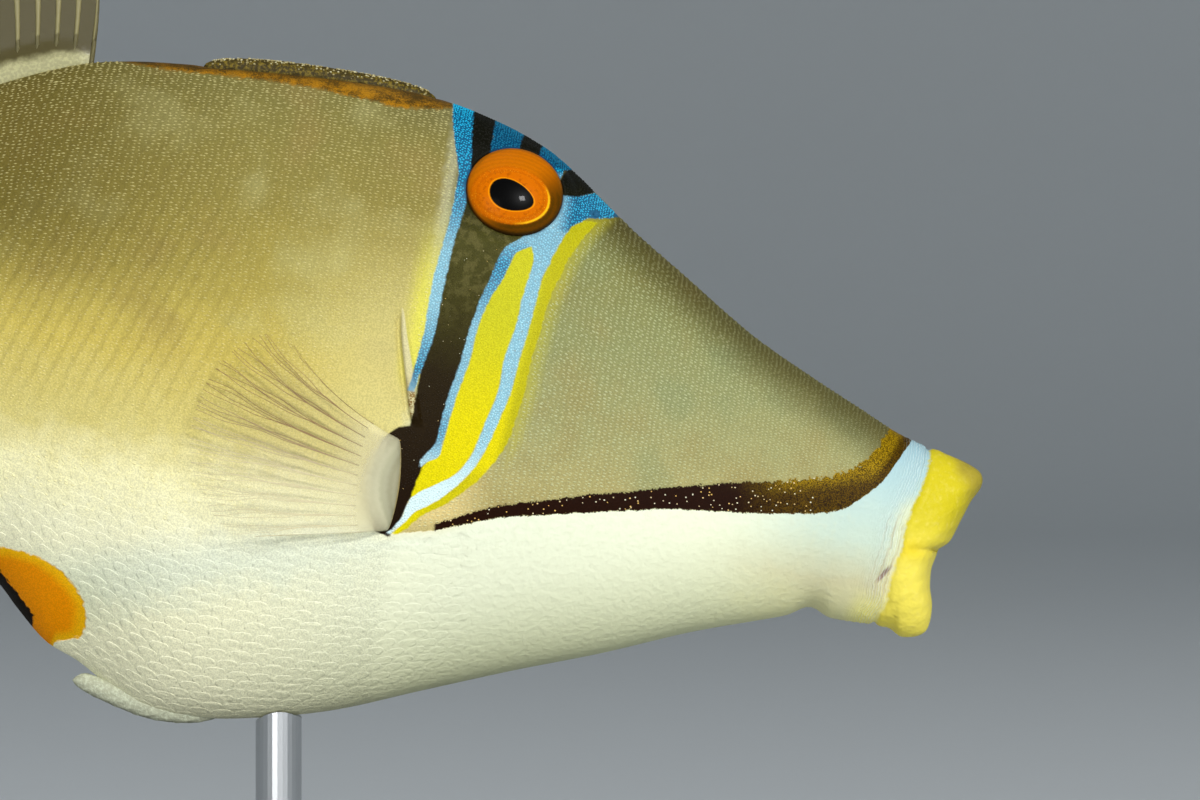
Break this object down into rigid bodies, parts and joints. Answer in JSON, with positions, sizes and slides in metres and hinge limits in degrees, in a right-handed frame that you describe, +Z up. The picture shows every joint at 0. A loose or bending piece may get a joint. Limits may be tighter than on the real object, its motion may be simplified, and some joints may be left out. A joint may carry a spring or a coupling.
{
  "type": "arabian picassofish model",
  "caption": "Life-size still model of an Arabian picassofish swimming nose down, held on a flat display stand with a rod.",
  "frame": {"origin": "middle of the whole model's footprint, at the underside of the stand's base", "axes": "+X towards the fish's nose, +Y to the fish's left, +Z up; the fish is pitched nose down by 9 degrees"},
  "size_m": [0.2556, 0.096, 0.163],
  "materials": {
    "head": "wet skin with fine granular scales, blue and yellow bands behind the eye, a dark cheek line and a white throat",
    "upper_lip": "wet yellow skin with creases",
    "lower_lip": "wet pale yellow skin with creases",
    "eye_left": "clear, wet cornea over an orange iris and a dark pupil",
    "eye_right": "clear, wet cornea over an orange iris and a dark pupil",
    "trunk": "wet skin with plate-like scales, olive tan above and cream white below",
    "tail": "wet skin with plate-like scales and rows of short black spines",
    "first_dorsal_fin": "rough, granular folded spine",
    "second_dorsal_fin": "thin, slightly clear membrane on fine rays",
    "anal_fin": "thin, slightly clear membrane on fine rays",
    "caudal_fin": "thin membrane on branching rays",
    "pectoral_fin_left": "thin, clear membrane on fine brown rays",
    "pectoral_fin_right": "thin, clear membrane on fine brown rays",
    "pelvic_spine": "blunt spine with small rough scutes",
    "stand_base": "black acrylic, satin top and polished edge",
    "stand_rod": "brushed steel rod"
  },
  "bodies": {
    "root": {"head": "head", "upper_lip": "upper_lip", "lower_lip": "lower_lip", "eye_left": "eye_left", "eye_right": "eye_right", "trunk": "trunk", "tail": "tail", "first_dorsal_fin": "first_dorsal_fin", "second_dorsal_fin": "second_dorsal_fin", "anal_fin": "anal_fin", "caudal_fin": "caudal_fin", "pectoral_fin_left": "pectoral_fin_left", "pectoral_fin_right": "pectoral_fin_right", "pelvic_spine": "pelvic_spine", "stand_base": "stand_base", "stand_rod": "stand_rod"}
  },
  "joints": []
}
